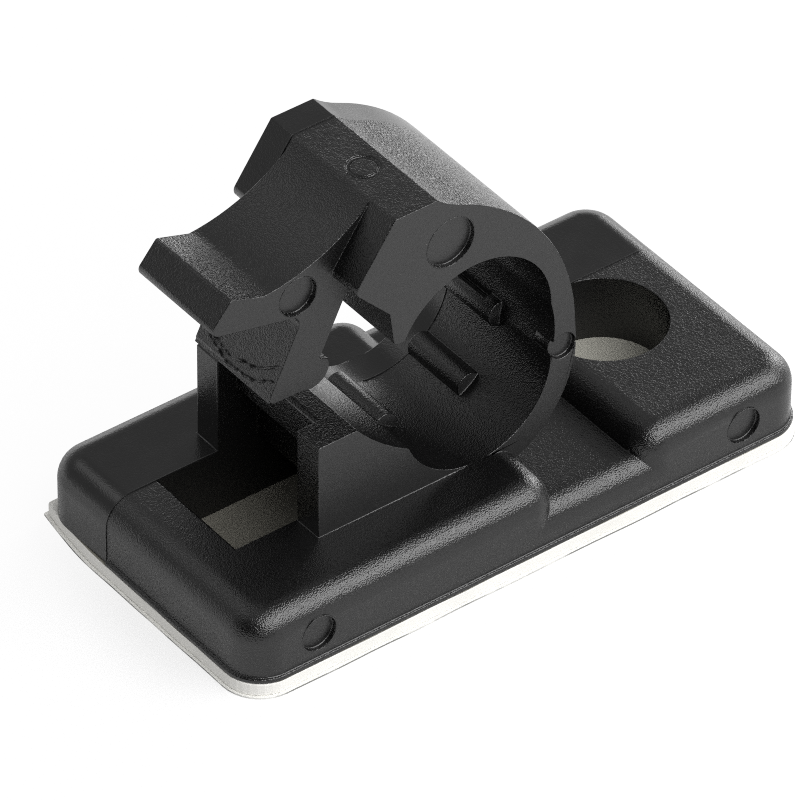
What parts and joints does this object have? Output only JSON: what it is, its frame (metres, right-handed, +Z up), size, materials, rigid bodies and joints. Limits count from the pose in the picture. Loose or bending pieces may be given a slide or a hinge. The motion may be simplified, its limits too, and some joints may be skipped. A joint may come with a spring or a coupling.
{
  "type": "adhesive cable clip",
  "caption": "Black latching cable clip moulded in one piece with its base, with a screw hole, on a foam adhesive pad with its release liner.",
  "frame": {"origin": "centre of the release liner's underside, which lies on the mounting surface", "axes": "+X along the base from the latch end to the screw end, +Y across the base, +Z up from the surface"},
  "size_m": [0.0386, 0.0198, 0.0245],
  "materials": {
    "black_nylon": "fine spark-eroded grain with a soft sheen",
    "white_foam": "matte closed-cell foam",
    "liner_paper": "satin coated paper"
  },
  "bodies": {
    "root": {"clip_body": "black_nylon", "foam_pad": "white_foam", "release_liner": "liner_paper"}
  },
  "joints": []
}
